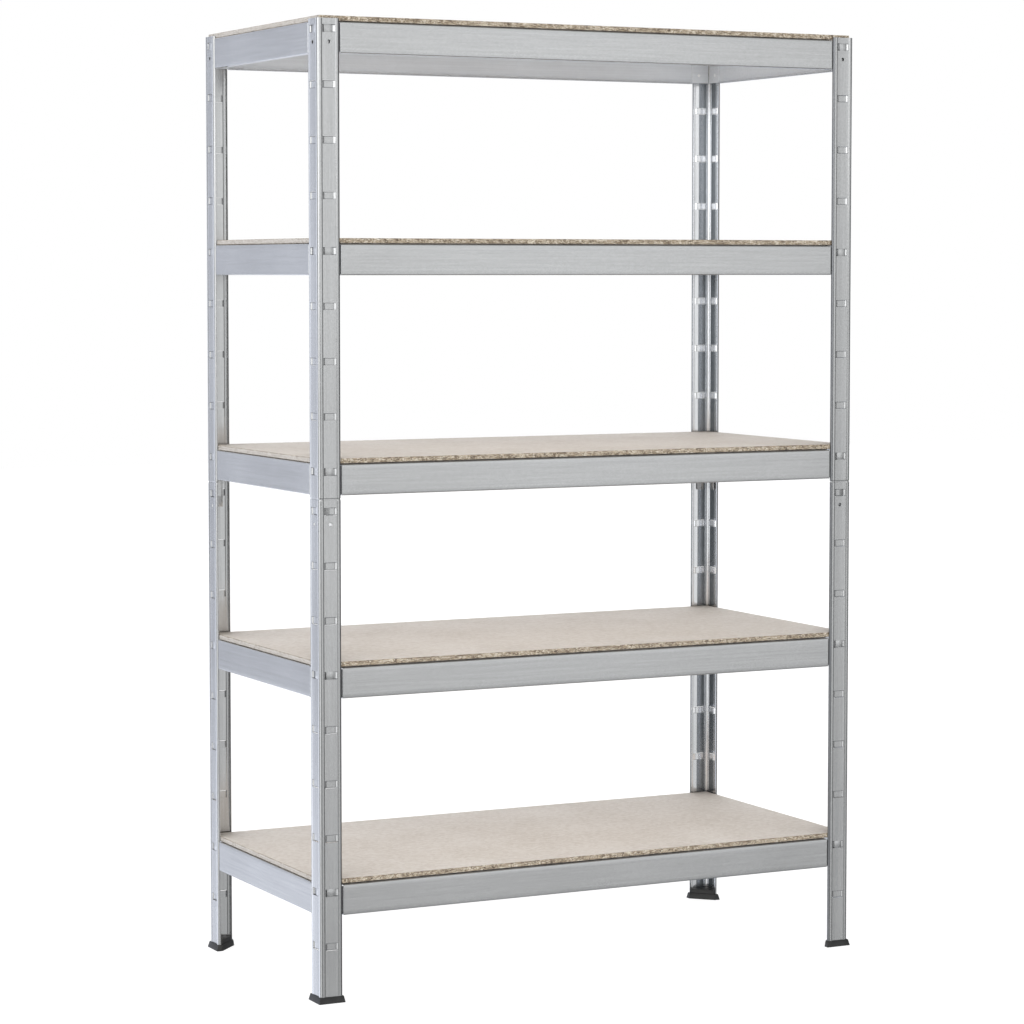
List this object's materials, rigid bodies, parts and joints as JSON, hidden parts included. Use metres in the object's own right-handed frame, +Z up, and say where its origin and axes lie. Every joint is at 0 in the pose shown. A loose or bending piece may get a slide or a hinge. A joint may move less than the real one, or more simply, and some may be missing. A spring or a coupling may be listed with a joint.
{
  "type": "boltless shelving",
  "caption": "Free-standing boltless steel shelving rack: slotted L-section corner posts, hooked steel beams and loose chipboard shelf boards, on plastic feet.",
  "frame": {"origin": "on the floor, midway between the posts in both directions", "axes": "+X along the shelves, to the right seen from the front; +Y from the front to the back; +Z up"},
  "size_m": [1.148, 0.563, 1.8],
  "materials": {
    "galvanised_steel": "bare galvanised sheet, satin, faint rolling streaks and soft spangle",
    "chipboard": "raw chipboard, sanded smooth faces, speckled sawn edges",
    "black_plastic": "moulded, satin"
  },
  "bodies": {
    "posts": {"post_upper_front_left": "galvanised_steel", "post_lower_front_left": "galvanised_steel", "post_upper_front_right": "galvanised_steel", "post_lower_front_right": "galvanised_steel", "post_upper_back_left": "galvanised_steel", "post_lower_back_left": "galvanised_steel", "post_upper_back_right": "galvanised_steel", "post_lower_back_right": "galvanised_steel", "foot_front_left": "black_plastic", "foot_front_right": "black_plastic", "foot_back_left": "black_plastic", "foot_back_right": "black_plastic"},
    "level_1": {"beam_front_1": "galvanised_steel", "beam_back_1": "galvanised_steel", "beam_left_1": "galvanised_steel", "beam_right_1": "galvanised_steel"},
    "level_2": {"beam_front_2": "galvanised_steel", "beam_back_2": "galvanised_steel", "beam_left_2": "galvanised_steel", "beam_right_2": "galvanised_steel"},
    "level_3": {"beam_front_3": "galvanised_steel", "beam_back_3": "galvanised_steel", "beam_left_3": "galvanised_steel", "beam_right_3": "galvanised_steel"},
    "level_4": {"beam_front_4": "galvanised_steel", "beam_back_4": "galvanised_steel", "beam_left_4": "galvanised_steel", "beam_right_4": "galvanised_steel"},
    "level_5": {"beam_front_5": "galvanised_steel", "beam_back_5": "galvanised_steel", "beam_left_5": "galvanised_steel", "beam_right_5": "galvanised_steel"},
    "board_1": {"shelf_board_1": "chipboard"},
    "board_2": {"shelf_board_2": "chipboard"},
    "board_3": {"shelf_board_3": "chipboard"},
    "board_4": {"shelf_board_4": "chipboard"},
    "board_5": {"shelf_board_5": "chipboard"}
  },
  "joints": [
    {"name": "level_1_unhook", "type": "slide", "parent": "posts", "child": "level_1", "axis": [0, 0, 1], "range_m": [0, 0.018]},
    {"name": "board_1_lift", "type": "slide", "parent": "level_1", "child": "board_1", "axis": [0, 0, 1], "range_m": [0, 0.31]},
    {"name": "level_2_unhook", "type": "slide", "parent": "posts", "child": "level_2", "axis": [0, 0, 1], "range_m": [0, 0.018]},
    {"name": "board_2_lift", "type": "slide", "parent": "level_2", "child": "board_2", "axis": [0, 0, 1], "range_m": [0, 0.28]},
    {"name": "level_3_unhook", "type": "slide", "parent": "posts", "child": "level_3", "axis": [0, 0, 1], "range_m": [0, 0.018]},
    {"name": "board_3_lift", "type": "slide", "parent": "level_3", "child": "board_3", "axis": [0, 0, 1], "range_m": [0, 0.31]},
    {"name": "level_4_unhook", "type": "slide", "parent": "posts", "child": "level_4", "axis": [0, 0, 1], "range_m": [0, 0.018]},
    {"name": "board_4_lift", "type": "slide", "parent": "level_4", "child": "board_4", "axis": [0, 0, 1], "range_m": [0, 0.31]},
    {"name": "level_5_unhook", "type": "slide", "parent": "posts", "child": "level_5", "axis": [0, 0, 1], "range_m": [0, 0.018]},
    {"name": "board_5_lift", "type": "slide", "parent": "level_5", "child": "board_5", "axis": [0, 0, 1], "range_m": [0, 0.31]}
  ]
}
